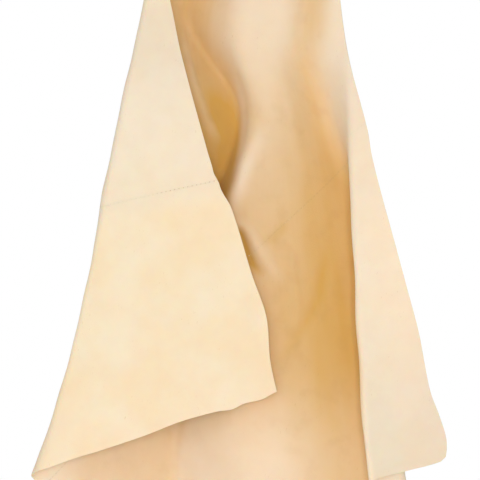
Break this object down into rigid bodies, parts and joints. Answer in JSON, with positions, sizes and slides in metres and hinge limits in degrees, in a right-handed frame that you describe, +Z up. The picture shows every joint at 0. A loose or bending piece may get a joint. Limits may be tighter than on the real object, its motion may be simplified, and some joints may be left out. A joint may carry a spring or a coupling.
{
  "type": "chamois leather",
  "caption": "Pale tan chamois leather of three skins sewn together, hanging in loose folds from one corner.",
  "frame": {"origin": "tip of the hang corner, at the middle of the leather's thickness", "axes": "+Z up, +X to the right as seen from the front, -Y towards the viewer in front"},
  "size_m": [0.3282, 0.0994, 0.6839],
  "materials": {
    "upper_leather": "suede nap",
    "corner_leather": "suede nap",
    "main_leather": "suede nap",
    "thread": "matt"
  },
  "bodies": {
    "root": {"upper_panel": "upper_leather", "corner_panel": "corner_leather", "main_skin": "main_leather", "cross_seam_thread": "thread", "long_seam_thread": "thread"}
  },
  "joints": []
}
